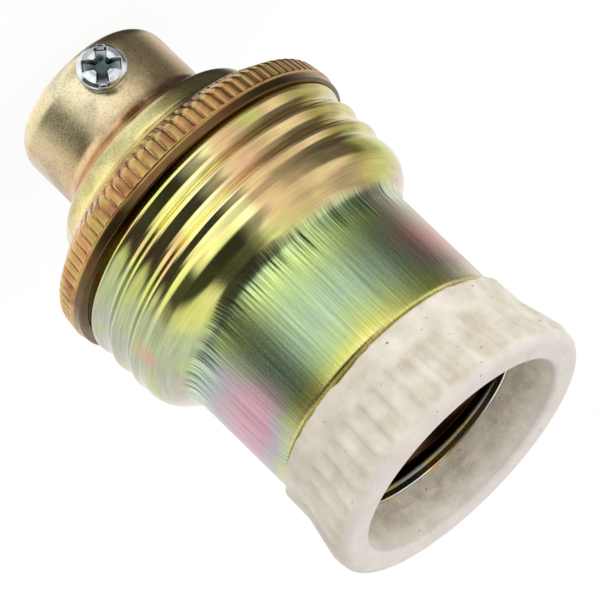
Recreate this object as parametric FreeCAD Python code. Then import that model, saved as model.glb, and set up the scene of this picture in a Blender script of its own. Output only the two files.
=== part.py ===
"""Edison-screw lamp holder: a drawn cap with a knurled rim, a shell with a rolled thread,
a porcelain ring at the mouth and a porcelain insert inside.

Millimetres. Z is the axis of the holder, from the conduit entry (z = 0) towards the lamp.
The lock screw is on the -Y side of the neck.
"""

import FreeCAD, Part
import math
import os

Vector = FreeCAD.Vector
AXIS = Vector(0, 0, 1)
ORIGIN = Vector(0, 0, 0)

# fits
thread_gap = 0.12        # radial gap between the rolled threads
screw_gap = 0.03         # radial gap of a screw in the hole it is tapped into
clear_gap = 0.25         # radial gap of a screw in a plain hole
body_gap = 0.45          # radial gap between the insert and the shell round it
sleeve_gap = 0.25        # radial gap between the thread sleeve and the ring round it
spigot_gap = 0.35        # radial gap between the ring's spigot and the shell's lip
seat_gap = 0.1           # gap between two faces that stop just short of each other

# rolled thread between cap and shell, right-hand
thread_crest = 21.7
thread_root = 20.9
thread_pitch = 3.6

# cap: neck, shoulder and knurled rim, drawn from one sheet
cap_wall = 0.5
neck_radius = 11.4
neck_corner = 3.4
neck_length = 11.9
shoulder_width = 3.8
shoulder_rise = 2.3
waist_width = 1.2
waist_rise = 2.8
cone_rise = 3.9
rim_draft = 0.3
rim_width = 3.8
knurl_count = 88
knurl_depth = 0.3
knurl_groove_deg = 1.3
knurl_width = 2.7        # how far the knurled band reaches in from the corner of the rim
knurl_edge = 1.3         # plain strip between the knurls and the end of the rim
thread_lead_in = 1.0     # from the corner of the rim to the first thread

shoulder_radius = neck_radius + shoulder_width
shoulder_height = neck_length + shoulder_rise
waist_radius = shoulder_radius + waist_width
waist_height = shoulder_height + waist_rise
rim_radius = thread_crest + cap_wall
cone_radius = rim_radius - rim_draft
cone_height = waist_height + cone_rise
rim_height = cone_height + rim_width
cap_thread_start = cone_height + thread_lead_in

# conduit bush, M10 x 1, held in the neck
entry_radius = 4.55
entry_spigot_radius = 5.1
entry_length = 9.4
bush_collar_radius = 7.4
bush_flange = 2.0
entry_mouth_radius = entry_spigot_radius + seat_gap

# lock screw, M3.5
lock_height = 5.1
lock_head_radius = 3.3
lock_head_thickness = 1.9
lock_shank_radius = 1.75
lock_tip_gap = 0.45      # from its tip to the conduit's bore

# shell: rolled thread, bulge and lamp-side cylinder
shell_wall = 0.45
bulge_wall = 0.55
shell_start = cap_thread_start + seat_gap
crest_below_edge = 3.9   # first crest, at the angle below
thread_crest_deg = -70.0
thread_length = 10.8
thread_fade = 2.8
bulge_radius = 21.45
bulge_width = 1.8
bulge_drop = 3.3
shell_corner = 3.4
shell_radius = 17.9
cylinder_length = 17.4
shell_lip = 1.15
lip_corner = 1.0

thread_crest_at = shell_start + crest_below_edge
thread_full_to = shell_start + thread_length
thread_gone_by = thread_full_to + thread_fade
bulge_corner = thread_gone_by + bulge_width
cylinder_start = bulge_corner + bulge_drop
shell_end = cylinder_start + cylinder_length
shell_lip_radius = shell_radius - shell_lip

# thread sleeve for an E27 lamp cap, 24.5 mm under the thread and 26.7 mm over it
sleeve_wall = 0.4
sleeve_minor = 12.25
sleeve_major = 13.35
sleeve_cup = 12.8
sleeve_cup_height = 4.6
sleeve_rim = 1.2
sleeve_length = 24.0
sleeve_floor_hole = 6.2
sleeve_slot_width = 8.0

# porcelain ring
ring_height = 12.8
ring_overhang = 0.85
ring_flare = 1.35
ring_lip = 2.1
ring_spigot_length = 6.7
flute_count = 36
flute_radius = 1.15
flute_depth = 0.5
flute_below_edge = 4.1
flute_above_end = 2.0

ring_start = shell_end + seat_gap
ring_end = ring_start + ring_height
ring_radius = shell_radius + ring_overhang
ring_mouth_radius = ring_radius + ring_flare
ring_bore = sleeve_major + sleeve_wall + sleeve_gap
ring_hole_radius = ring_bore + ring_lip
ring_spigot_radius = shell_lip_radius - spigot_gap
ring_spigot_start = ring_start - ring_spigot_length
flute_start = ring_start + flute_below_edge
flute_end = ring_end - flute_above_end

# porcelain insert
insert_depth = 14.0
insert_step = 4.4        # from the flange to the front face
insert_flange_gap = 0.8  # from the flange to the corner of the bulge
insert_bevel = 0.7
barrier_height = 5.5
barrier_width = 3.0
barrier_length = 25.0
channel_width = 7.0
channel_depth = 2.5
channel_in = 4.0

insert_flange_end = bulge_corner - insert_flange_gap
insert_front = insert_flange_end + insert_step
insert_back = insert_front - insert_depth
insert_flange_radius = thread_root - shell_wall - body_gap
insert_radius = shell_radius - bulge_wall - body_gap - seat_gap
barrier_top = insert_back - barrier_height
sleeve_end = insert_front + sleeve_length

# fixing screws, M3, and their hexagon nuts
fixing_radius = 1.5
fixing_head_radius = 2.7
fixing_head = 1.5
nut_flats = 5.5
nut_height = 2.3
fixing_edge = 1.2        # from the head of a fixing screw to the wall of the sleeve
sleeve_screw_circle = sleeve_cup - fixing_edge - fixing_head_radius
contact_screw_at = sleeve_screw_circle + 0.3

# centre contact, a brass leaf
leaf_thickness = 0.5
leaf_width = 5.0
leaf_rise = 5.6
leaf_tip = 3.4
leaf_end = 3.1           # from the screw to the outer end of the leaf
channel_out = contact_screw_at + leaf_end + 0.7

# terminals on the wiring side
plate_thickness = 1.2
plate_width = 7.0
plate_edge = 3.3         # from the hole of a screw to the end of the plate
terminal_radius = 1.75
terminal_head_radius = 3.0
terminal_from_rim = 4.6  # from the terminal screw to the edge of the insert
terminal_head = 2.0
terminal_hole_depth = 6.0
clamp_thickness = 0.8
clamp_size = 6.4
terminal_at = insert_flange_radius - terminal_from_rim
plate_inner = sleeve_screw_circle - plate_edge
plate_outer = terminal_at + plate_edge


def rounded(corners):
    """Edges through (r, z, corner radius) points in the XZ plane, each corner an arc."""
    edges = []
    last = Vector(corners[0][0], 0, corners[0][1])
    for before, here, after in zip(corners, corners[1:], corners[2:]):
        point = Vector(here[0], 0, here[1])
        back = (Vector(before[0], 0, before[1]) - point).normalize()
        ahead = (Vector(after[0], 0, after[1]) - point).normalize()
        radius = here[2]
        start = point
        if radius > 0:
            half = back.getAngle(ahead) / 2
            inward = (back + ahead).normalize()
            start = point + back * (radius / math.tan(half))
            end = point + ahead * (radius / math.tan(half))
            middle = point + inward * (radius / math.sin(half) - radius)
        edges.append(Part.LineSegment(last, start).toShape())
        last = start
        if radius > 0:
            edges.append(Part.Arc(start, middle, end).toShape())
            last = end
    final = Vector(corners[-1][0], 0, corners[-1][1])
    edges.append(Part.LineSegment(last, final).toShape())
    return edges


def beside(corners, distance):
    """The same path moved to its left by distance, its corner radii to match."""
    normals = []
    for here, after in zip(corners, corners[1:]):
        run = Vector(after[0] - here[0], after[1] - here[1], 0).normalize()
        normals.append(Vector(-run.y, run.x, 0))
    moved = [(corners[0][0] + normals[0].x * distance, corners[0][1] + normals[0].y * distance, 0)]
    for corner, first, second in zip(corners[1:-1], normals, normals[1:]):
        step = (first + second) * (distance / (1 + first.dot(second)))
        left_turn = first.cross(second).z > 0
        radius = corner[2] - distance if left_turn else corner[2] + distance
        moved.append((corner[0] + step.x, corner[1] + step.y, max(radius, 0)))
    moved.append((corners[-1][0] + normals[-1].x * distance, corners[-1][1] + normals[-1].y * distance, 0))
    return moved


def strip(corners, inner, outer=0.0):
    """Face between two paths beside the one given: inner to its left, outer to its right."""
    inside = beside(corners, inner)
    outside = beside(corners, -outer)
    edges = rounded(outside) + rounded(inside)
    for end in (0, -1):
        here = Vector(outside[end][0], 0, outside[end][1])
        there = Vector(inside[end][0], 0, inside[end][1])
        edges.append(Part.LineSegment(here, there).toShape())
    return Part.Face(Part.Wire(Part.__sortEdges__(edges)))


def turned(face, degrees=360.0):
    return face.revolve(ORIGIN, AXIS, degrees)


def closed(corners):
    """Face inside a closed run of (r, z, corner radius) points; the first one is sharp."""
    return Part.Face(Part.Wire(Part.__sortEdges__(rounded(corners + [corners[0]]))))


def cylinder(radius, low, high, x=0.0, y=0.0):
    return Part.makeCylinder(radius, high - low, Vector(x, y, low))


def block(x, y, z):
    """Box from three (low, high) pairs."""
    sizes = [high - low for low, high in (x, y, z)]
    return Part.makeBox(*sizes, Vector(x[0], y[0], z[0]))


def around(shape, degrees):
    return shape.rotated(ORIGIN, AXIS, degrees)


def polar(radius, degrees):
    angle = math.radians(degrees)
    return radius * math.cos(angle), radius * math.sin(angle)


def waved_rod(radius_at, low, high, pitch):
    """Solid whose side is a smooth skin of radius_at(angle in turns, z), closed by flat ends.

    The skin's seam stands a little off the XZ plane, so that a cut in that plane misses it.
    """
    columns = 48
    seam = 2.4
    rows = max(8, int(12 * (high - low) / pitch))
    round_up = 3 / (2 + math.cos(2 * math.pi / columns))
    spans = rows - 3
    knots = [0.0] * 3 + [i / spans for i in range(spans + 1)] + [1.0] * 3
    heights = [low + (high - low) * sum(knots[i + 1:i + 4]) / 3 for i in range(rows)]
    poles = []
    for column in range(columns):
        turn = (column + seam) / columns
        x, y = polar(round_up, 360 * turn)
        poles.append([Vector(x * radius_at(turn, z), y * radius_at(turn, z), z) for z in heights])
    surface = Part.BSplineSurface()
    surface.buildFromPolesMultsKnots(
        poles, [1] * (columns + 1), [4] + [1] * (spans - 1) + [4],
        list(range(columns + 1)), [i / spans for i in range(spans + 1)], True, False, 3, 3)
    side = surface.toShape()
    faces = [side]
    for edge in side.Edges:
        if edge.BoundBox.ZLength < 1e-6:
            faces.append(Part.Face(Part.Wire([edge])))
    skin = Part.Shell(faces)
    skin.sewShape()
    return Part.Solid(skin)


def ramp(z, start, end):
    """0 before start, 1 after end, smooth between."""
    part = min(max((z - start) / (end - start), 0.0), 1.0)
    return part * part * (3 - 2 * part)


def shell_thread_radius(turn, z, grow=0.0):
    """Right-hand round thread that fades out into the bulge."""
    wave = math.cos(2 * math.pi * ((z - thread_crest_at) / thread_pitch - turn + thread_crest_deg / 360))
    gone = ramp(z, thread_full_to, thread_gone_by)
    middle = (thread_crest + thread_root) / 2
    swing = (thread_crest - thread_root) / 2
    return middle + gone * (bulge_radius - 0.05 - middle) + 1.05 * swing * (1 - gone) * wave + grow


def cap():
    outer = [
        (entry_mouth_radius, 0, 0),
        (neck_radius, 0, neck_corner),
        (neck_radius, neck_length, 2.4),
        (shoulder_radius, shoulder_height, 2.6),
        (waist_radius, waist_height, 2.0),
        (cone_radius, cone_height, 1.3),
        (rim_radius, rim_height, 0),
    ]
    body = turned(strip(outer, cap_wall))
    slope = (cone_height - waist_height) / (cone_radius - waist_radius)
    knurled = [
        (cone_radius - knurl_width, cone_height - slope * knurl_width, 0),
        (cone_radius, cone_height, 1.3),
        (rim_radius - 0.02, rim_height - knurl_edge, 0),
    ]
    body = body.fuse(turned(strip(knurled, 0.2, knurl_depth)))
    lining = closed([
        (thread_root + thread_gap, cap_thread_start, 0),
        (rim_radius - 0.15, cap_thread_start, 0),
        (rim_radius - 0.15, rim_height, 0),
        (thread_root + thread_gap, rim_height, 0),
    ])
    body = body.fuse(turned(lining))
    tap = waved_rod(lambda turn, z: shell_thread_radius(turn, z, thread_gap),
                    cap_thread_start - 0.02, rim_height + 1, thread_pitch)
    body = body.cut(tap)
    blade = turned(strip(knurled, 0.04, knurl_depth + 0.3), knurl_groove_deg)
    body = body.cut([around(blade, 360 * i / knurl_count) for i in range(knurl_count)])
    hole = Part.makeCylinder(lock_shank_radius + clear_gap, neck_radius, Vector(0, -neck_radius - 2, lock_height),
                             Vector(0, 1, 0))
    return body.cut(hole)


def entry_bush():
    """Turned bush with its spigot in the neck's hole; the conduit screws into it."""
    neck_inside = neck_radius - cap_wall
    top = seat_gap + entry_length
    profile = closed([
        (entry_radius, seat_gap, 0),
        (entry_spigot_radius, seat_gap, 0),
        (entry_spigot_radius, cap_wall, 0),
        (neck_inside - neck_corner + 0.6, cap_wall, 0),
        (neck_inside - 0.05, cap_wall + neck_corner - 0.6, 0.5),
        (neck_inside - 0.05, cap_wall + neck_corner - 0.6 + bush_flange, 0.3),
        (bush_collar_radius, cap_wall + neck_corner + bush_flange, 0.3),
        (bush_collar_radius, top, 0.4),
        (entry_radius, top, 0),
    ])
    body = turned(profile)
    hole = Part.makeCylinder(lock_shank_radius + screw_gap, neck_radius, Vector(0, -neck_radius, lock_height),
                             Vector(0, 1, 0))
    return body.cut(hole)


def cross_outline(arm, half_width, z):
    """Closed wire round a cross with square arms."""
    points = []
    for quarter in range(4):
        for x, y in ((arm, -half_width), (arm, half_width), (half_width, half_width)):
            turn = math.radians(90 * quarter)
            points.append(Vector(x * math.cos(turn) - y * math.sin(turn),
                                 x * math.sin(turn) + y * math.cos(turn), z))
    return Part.makePolygon(points + [points[0]])


def combination_recess(radius, depth):
    """Tapering cross with a shallow slot along one of its arms; the head's top is z = 0."""
    cross = Part.makeLoft([
        cross_outline(radius * 0.68, radius * 0.2, 0.05),
        cross_outline(radius * 0.3, radius * 0.1, -depth),
    ], True)
    slot = block((-radius * 0.9, radius * 0.9), (-radius * 0.13, radius * 0.13), (-depth * 0.4, 1))
    return around(cross.fuse(slot), 45)


def screw(head_radius, head, shank_radius, length, slot=0.8):
    """Slotted cheese-head screw along Z: underside of the head at z = 0, shank below it."""
    body = cylinder(head_radius, 0, head)
    top = [edge for edge in body.Edges if edge.BoundBox.ZMin > head - 0.01]
    body = body.makeFillet(0.3, top)
    body = body.fuse(cylinder(shank_radius, -length, 0.1))
    tip = [edge for edge in body.Edges if edge.BoundBox.ZMax < 0.01 - length]
    body = body.makeChamfer(0.3, tip)
    cut = block((-head_radius - 1, head_radius + 1), (-slot / 2, slot / 2), (head * 0.5, head + 1))
    return body.cut(cut)


def flipped(shape):
    """Turned over, so that what pointed to +Z points to -Z."""
    return shape.rotated(ORIGIN, Vector(1, 0, 0), 180)


def lock_screw():
    """Pan-head screw with a combined slot and cross; it grips the conduit in the bush."""
    seat = neck_radius + 0.05
    length = seat - entry_radius - lock_tip_gap
    body = cylinder(lock_head_radius, 0, lock_head_thickness)
    top = [edge for edge in body.Edges if edge.BoundBox.ZMin > lock_head_thickness - 0.01]
    body = body.makeFillet(0.6, top)
    recess = combination_recess(lock_head_radius, lock_head_thickness * 0.75)
    body = body.cut(recess.translated(Vector(0, 0, lock_head_thickness)))
    body = body.fuse(cylinder(lock_shank_radius, -length, 0.1))
    body = body.rotated(ORIGIN, Vector(1, 0, 0), 90)
    return body.translated(Vector(0, -seat, lock_height))


def shell():
    """Rolled thread, bulge and cylinder, with the end turned in to hold the ring."""
    outside = waved_rod(shell_thread_radius, shell_start, thread_gone_by + 0.4, thread_pitch)
    inside = waved_rod(lambda turn, z: shell_thread_radius(turn, z, -shell_wall),
                       shell_start - 0.6, thread_gone_by + 1, thread_pitch)
    skirt = [
        (bulge_radius, thread_gone_by - 0.2, 0),
        (bulge_radius, bulge_corner, shell_corner),
        (shell_radius, cylinder_start, shell_corner),
        (shell_radius, shell_end, lip_corner),
        (shell_lip_radius, shell_end, 0),
    ]
    return outside.cut(inside).fuse(turned(strip(skirt, bulge_wall)))


def porcelain_ring():
    """Ring that guards the mouth; its flutes give the fingers a grip."""
    profile = closed([
        (ring_bore, ring_spigot_start, 0),
        (ring_spigot_radius, ring_spigot_start, 0.4),
        (ring_spigot_radius, ring_start, 0),
        (ring_radius, ring_start, 0.7),
        (ring_radius, flute_start + 0.8, 4.0),
        (ring_mouth_radius, flute_end - 0.9, 2.0),
        (ring_mouth_radius - 0.5, ring_end, 1.7),
        (ring_hole_radius - 0.15, ring_end, 1.0),
        (ring_bore + 0.4, sleeve_end + 1.8, 1.2),
        (ring_bore, sleeve_end - 0.3, 0),
    ])
    body = turned(profile)
    slope = math.degrees(math.atan2(ring_mouth_radius - ring_radius, flute_end - flute_start))
    reach = flute_radius - flute_depth
    flute = cylinder(flute_radius, 0, ring_height).fuse(Part.makeSphere(flute_radius))
    flute = flute.rotated(ORIGIN, Vector(0, 1, 0), slope)
    flute = flute.translated(Vector(ring_radius + reach, 0, flute_start + flute_radius))
    keep = turned(closed([
        (0, flute_start - 2, 0),
        (ring_mouth_radius + 4, flute_start - 2, 0),
        (ring_mouth_radius + 4, flute_end, 0),
        (0, flute_end, 0),
    ]))
    flute = flute.common(keep)
    return body.cut([around(flute, 360 * i / flute_count) for i in range(flute_count)])


def insert_holes():
    """Holes through the porcelain for the fixing screws, and blind ones for the terminal screws."""
    holes = []
    for x, y in fixing_places():
        holes.append(cylinder(fixing_radius + clear_gap, insert_back - 1, insert_front + 1, x, y))
    for side in (-1, 1):
        holes.append(cylinder(terminal_radius + 0.4, insert_back - 1, insert_back + terminal_hole_depth,
                              0, side * terminal_at))
    return holes


def sleeve_screw_places():
    return [polar(sleeve_screw_circle, degrees) for degrees in (90, 210, 330)]


def fixing_places():
    return sleeve_screw_places() + [(0, -contact_screw_at)]


def porcelain_insert():
    """Core that carries the sleeve and the centre contact, with a barrier between the terminals."""
    body = turned(closed([
        (0, insert_back, 0),
        (insert_flange_radius - insert_bevel, insert_back, 0),
        (insert_flange_radius, insert_back + insert_bevel, 0),
        (insert_flange_radius, insert_flange_end, 0),
        (insert_radius, insert_flange_end + (insert_flange_radius - insert_radius) * 0.93, 0),
        (insert_radius, insert_front - insert_bevel, 0),
        (insert_radius - insert_bevel, insert_front, 0),
        (0, insert_front, 0),
    ]))
    half = barrier_length / 2
    barrier = block((-half, half), (-barrier_width / 2, barrier_width / 2), (barrier_top, insert_back + 1))
    edges = [edge for edge in barrier.Edges if edge.BoundBox.ZMax < barrier_top + 0.01]
    body = body.fuse(barrier.makeChamfer(insert_bevel, edges))
    channel = block((-channel_width / 2, channel_width / 2), (-channel_out, channel_in),
                    (insert_front - channel_depth, insert_front + 1))
    body = body.cut(channel)
    return body.cut(insert_holes())


def thread_sleeve():
    """Screw shell for the lamp cap, plain at the core of its thread, with a wider cup and rim."""
    floor = insert_front + sleeve_wall
    neck = insert_front + sleeve_cup_height
    inside = [
        (sleeve_floor_hole, floor, 0),
        (sleeve_cup, floor, 0.6),
        (sleeve_cup, neck, 0.8),
        (sleeve_minor, neck + sleeve_cup - sleeve_minor, 0.8),
        (sleeve_minor, sleeve_end - sleeve_rim - sleeve_major + sleeve_minor, 0.8),
        (sleeve_major, sleeve_end - sleeve_rim, 0.6),
        (sleeve_major, sleeve_end, 0),
    ]
    body = turned(strip(inside, 0, sleeve_wall))
    slot = block((-sleeve_slot_width / 2, sleeve_slot_width / 2), (-sleeve_minor + 0.4, 0),
                 (insert_front - 1, floor + 0.2))
    body = body.cut(slot)
    for x, y in sleeve_screw_places():
        body = body.cut(cylinder(fixing_radius + clear_gap, insert_front - 1, insert_front + 1, x, y))
    return body


def sleeve_screws():
    floor = insert_front + sleeve_wall
    length = floor - insert_back + plate_thickness + nut_height + 0.3
    one = screw(fixing_head_radius, fixing_head, fixing_radius, length)
    return Part.Compound([one.translated(Vector(x, y, floor)) for x, y in sleeve_screw_places()])


def hex_nut(low, x, y):
    """Nut from low upwards, tapped for a fixing screw."""
    corner = nut_flats / math.sqrt(3)
    points = [Vector(*polar(corner, 60 * i), 0) for i in range(7)]
    prism = Part.Face(Part.makePolygon(points)).extrude(Vector(0, 0, nut_height))
    prism = prism.common(nut_barrel(corner))
    hole = cylinder(fixing_radius + screw_gap, -1, nut_height + 1)
    return prism.cut(hole).translated(Vector(x, y, low))


def nut_barrel(corner):
    """Barrel that trims the corners of a nut."""
    trim = 0.35
    return turned(closed([
        (0, 0, 0),
        (corner - trim, 0, 0),
        (corner + 0.01, trim, 0),
        (corner + 0.01, nut_height - trim, 0),
        (corner - trim, nut_height, 0),
        (0, nut_height, 0),
    ]))


def sleeve_nuts():
    first, second, third = sleeve_screw_places()
    return Part.Compound([
        hex_nut(insert_back - plate_thickness - nut_height, *first),
        hex_nut(insert_back - nut_height, *second),
        hex_nut(insert_back - nut_height, *third),
    ])


def centre_contact():
    """Brass leaf: flat under its screw, rising to the middle, its tip curled down."""
    floor = insert_front - channel_depth
    path = [
        (-contact_screw_at - leaf_end, floor, 0),
        (-contact_screw_at + 3.3, floor, 1.2),
        (-1.6, floor + leaf_rise, 1.4),
        (1.6, floor + leaf_rise, 1.2),
        (leaf_tip, floor + leaf_rise - 2.2, 0),
    ]
    face = strip(path, leaf_thickness)
    leaf = face.extrude(Vector(0, leaf_width, 0)).translated(Vector(0, -leaf_width / 2, 0))
    leaf = around(leaf, 90)
    return leaf.cut(cylinder(fixing_radius + clear_gap, floor - 1, floor + 1, 0, -contact_screw_at))


def contact_screw():
    floor = insert_front - channel_depth + leaf_thickness
    length = floor - insert_back + plate_thickness + nut_height + 0.3
    body = screw(fixing_head_radius, fixing_head, fixing_radius, length)
    return body.translated(Vector(0, -contact_screw_at, floor))


def contact_nut():
    return hex_nut(insert_back - plate_thickness - nut_height, 0, -contact_screw_at)


def terminal_plate(side, fixing_at):
    """Brass strip that joins a fixing screw to a terminal screw."""
    low = insert_back - plate_thickness
    plate = block((-plate_width / 2, plate_width / 2), (plate_inner, plate_outer), (low, insert_back))
    edges = [edge for edge in plate.Edges if edge.BoundBox.ZLength > plate_thickness - 0.01]
    plate = plate.makeFillet(1.0, edges)
    plate = plate.cut(cylinder(fixing_radius + clear_gap, low - 1, insert_back + 1, 0, fixing_at))
    plate = plate.cut(cylinder(terminal_radius + screw_gap, low - 1, insert_back + 1, 0, terminal_at))
    return around(plate, 0 if side > 0 else 180)


def clamp_washer(side):
    """Square washer with rounded corners that presses the wire on the plate."""
    low = insert_back - plate_thickness
    half = clamp_size / 2
    body = block((-half, half), (terminal_at - half + 0.4, terminal_at + half - 0.4), (low - clamp_thickness, low))
    body = body.cut(cylinder(terminal_radius + clear_gap, low - 2, low + 1, 0, terminal_at))
    edges = [edge for edge in body.Edges if edge.BoundBox.ZLength > clamp_thickness - 0.01
             and edge.BoundBox.XLength < 0.01 and edge.BoundBox.YLength < 0.01]
    body = body.makeFillet(0.8, edges[:4])
    return around(body, 0 if side > 0 else 180)


def terminal_screw(side):
    low = insert_back - plate_thickness - clamp_thickness
    length = plate_thickness + clamp_thickness + terminal_hole_depth - 1.5
    body = flipped(screw(terminal_head_radius, terminal_head, terminal_radius, length, 0.9))
    return body.translated(Vector(0, side * terminal_at, low - 0.02))


def main():
    os.makedirs("parts", exist_ok=True)
    pieces = {
        "cap": cap(),
        "entry_bush": entry_bush(),
        "lock_screw": lock_screw(),
        "shell": shell(),
        "porcelain_ring": porcelain_ring(),
        "porcelain_insert": porcelain_insert(),
        "thread_sleeve": thread_sleeve(),
        "sleeve_screws": sleeve_screws(),
        "sleeve_nuts": sleeve_nuts(),
        "centre_contact": centre_contact(),
        "contact_screw": contact_screw(),
        "contact_nut": contact_nut(),
        "neutral_plate": terminal_plate(1, sleeve_screw_circle),
        "neutral_clamp": clamp_washer(1),
        "neutral_screw": terminal_screw(1),
        "live_plate": terminal_plate(-1, contact_screw_at),
        "live_clamp": clamp_washer(-1),
        "live_screw": terminal_screw(-1),
    }
    for name, shape in pieces.items():
        print(name, "volume", round(shape.Volume, 1), "solids", len(shape.Solids), "valid", shape.isValid())
        shape.exportStep(f"parts/{name}.step")


main()
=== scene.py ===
import math

import bmesh
import bpy
from mathutils import Matrix, Vector


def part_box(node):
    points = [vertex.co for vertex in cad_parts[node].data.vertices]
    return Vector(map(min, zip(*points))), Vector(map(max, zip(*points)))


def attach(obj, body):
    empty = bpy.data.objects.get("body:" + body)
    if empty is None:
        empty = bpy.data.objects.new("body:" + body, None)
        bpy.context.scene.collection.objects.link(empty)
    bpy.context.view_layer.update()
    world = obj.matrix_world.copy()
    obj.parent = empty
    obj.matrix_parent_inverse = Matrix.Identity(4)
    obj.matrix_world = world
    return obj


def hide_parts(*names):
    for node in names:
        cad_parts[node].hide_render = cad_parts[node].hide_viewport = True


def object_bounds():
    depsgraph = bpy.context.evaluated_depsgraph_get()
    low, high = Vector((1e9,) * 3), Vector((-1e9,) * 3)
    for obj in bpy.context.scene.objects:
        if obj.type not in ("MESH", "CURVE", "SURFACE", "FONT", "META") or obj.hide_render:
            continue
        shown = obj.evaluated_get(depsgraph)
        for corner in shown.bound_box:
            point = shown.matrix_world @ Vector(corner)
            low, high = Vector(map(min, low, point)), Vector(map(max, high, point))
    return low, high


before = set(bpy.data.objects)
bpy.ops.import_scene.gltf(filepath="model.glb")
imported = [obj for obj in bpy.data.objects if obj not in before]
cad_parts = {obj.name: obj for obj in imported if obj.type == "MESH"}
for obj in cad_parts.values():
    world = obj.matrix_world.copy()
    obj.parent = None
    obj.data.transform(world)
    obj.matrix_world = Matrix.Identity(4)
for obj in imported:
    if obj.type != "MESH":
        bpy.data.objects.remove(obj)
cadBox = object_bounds()
mm = 0.001
up = Vector((0, 0, 1))
nearTurn = math.radians(-73)  # angle round the axis of the side that faces the camera
near = Vector((math.cos(nearTurn), math.sin(nearTurn), 0))
side = Vector((near.y, -near.x, 0))  # 90 degrees clockwise of near, seen from the mouth
filmTurn = math.radians(-73)  # angle round the axis that the plating's colours are counted from
filmFront = Vector((math.cos(filmTurn), math.sin(filmTurn), 0))


def hexColour(code):
    code = code.lstrip("#")
    channels = [int(code[i:i + 2], 16) / 255 for i in (0, 2, 4)]
    linear = [c / 12.92 if c <= 0.04045 else ((c + 0.055) / 1.055) ** 2.4 for c in channels]
    return (*linear, 1)


def smooth(x, start, end):
    t = min(max((x - start) / (end - start), 0), 1)
    return t * t * (3 - 2 * t)


def roundedPath(corners, step):
    # corners are (radius, height, corner radius) in mm; gives points no further apart than step
    keys = []
    for i, (r, z, corner) in enumerate(corners):
        here = Vector((r, z))
        if i in (0, len(corners) - 1) or corner == 0:
            keys.append(here)
            continue
        back = (Vector(corners[i - 1][:2]) - here).normalized()
        ahead = (Vector(corners[i + 1][:2]) - here).normalized()
        half = back.angle(ahead) / 2
        reach = corner / math.tan(half)
        centre = here + (back + ahead).normalized() * corner / math.sin(half)
        first, last = here + back * reach - centre, here + ahead * reach - centre
        sweep = first.angle_signed(last)
        parts = max(3, math.ceil(abs(sweep) * corner / step), math.ceil(abs(sweep) / 0.17))
        for k in range(parts + 1):
            angle = -sweep * k / parts
            c, s = math.cos(angle), math.sin(angle)
            keys.append(centre + Vector((first.x * c - first.y * s, first.x * s + first.y * c)))
    points = [keys[0]]
    for a, b in zip(keys, keys[1:]):
        parts = max(1, math.ceil((b - a).length / step))
        points += [a.lerp(b, k / parts) for k in range(1, parts + 1)]
    return points


def lathe(points, columns, closed=False):
    # spins a profile in mm once round the axis
    bm = bmesh.new()
    verts = [bm.verts.new((p.x * mm, 0, p.y * mm)) for p in points]
    edges = [bm.edges.new(pair) for pair in zip(verts, verts[1:])]
    if closed:
        edges.append(bm.edges.new((verts[-1], verts[0])))
    bmesh.ops.spin(bm, geom=verts + edges, cent=(0, 0, 0), axis=(0, 0, 1), dvec=(0, 0, 0),
                   angle=2 * math.pi, steps=columns, use_merge=True)
    bmesh.ops.remove_doubles(bm, verts=bm.verts, dist=1e-6)
    bmesh.ops.recalc_face_normals(bm, faces=bm.faces)
    return bm


def endsAlong(name):
    # where a CAD node starts and ends along the axis, in mm
    low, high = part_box(name)
    return low.z / mm, high.z / mm


def makePiece(name, bm, body, material, replaced):
    mesh = bpy.data.meshes.new(name)
    bm.to_mesh(mesh)
    bm.free()
    for poly in mesh.polygons:
        poly.use_smooth = True
    piece = bpy.data.objects.new(name, mesh)
    bpy.context.scene.collection.objects.link(piece)
    mesh.materials.append(material)
    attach(piece, body)
    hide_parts(replaced)
    return piece


def giveWall(piece, thickness, offset):
    wall = piece.modifiers.new("sheet", "SOLIDIFY")
    wall.thickness = thickness * mm
    wall.offset = offset  # -1 keeps the skin outside, 1 inside
    wall.use_even_offset = True


def setInputs(tree, node, inputs):
    # an input takes a value, or another node's output
    for key, value in inputs.items():
        if isinstance(value, bpy.types.NodeSocket):
            tree.links.new(value, node.inputs[key])
        else:
            node.inputs[key].default_value = value


def addNode(tree, kind, inputs=(), output=0, stops=(), between="LINEAR", **settings):
    # adds a node with its settings and links, inputs in order or by key, and gives back one output;
    # stops are (place, hex colour or grey level)
    node = tree.nodes.new("ShaderNode" + kind)
    for key, value in settings.items():
        setattr(node, key, value)
    setInputs(tree, node, inputs if isinstance(inputs, dict) else dict(enumerate(inputs)))
    if stops:
        node.color_ramp.interpolation = between
        elements = node.color_ramp.elements
        while len(elements) < len(stops):
            elements.new(0.5)
        for element, (place, colour) in zip(elements, stops):
            element.position = place
            element.color = hexColour(colour) if isinstance(colour, str) else (colour, colour, colour, 1)
    return node.outputs[output]


def startMaterial(name):
    material = bpy.data.materials.new(name)
    material.use_nodes = True
    tree = material.node_tree
    return material, tree, tree.nodes["Principled BSDF"], addNode(tree, "TexCoord", output="Object")


def heightInMm(tree, coordinates):
    height = addNode(tree, "SeparateXYZ", [coordinates], output="Z")
    return addNode(tree, "Math", [height, 1 / mm], operation="MULTIPLY")


def angleRound(tree, place, front):
    # angle round the axis in radians, 0 at front, growing clockwise seen from the mouth
    sideways = Vector((front.y, -front.x, 0))
    toFront = addNode(tree, "VectorMath", [place, front], output="Value", operation="DOT_PRODUCT")
    toSide = addNode(tree, "VectorMath", [place, sideways], output="Value", operation="DOT_PRODUCT")
    return addNode(tree, "Math", [toSide, toFront], operation="ARCTAN2")


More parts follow.
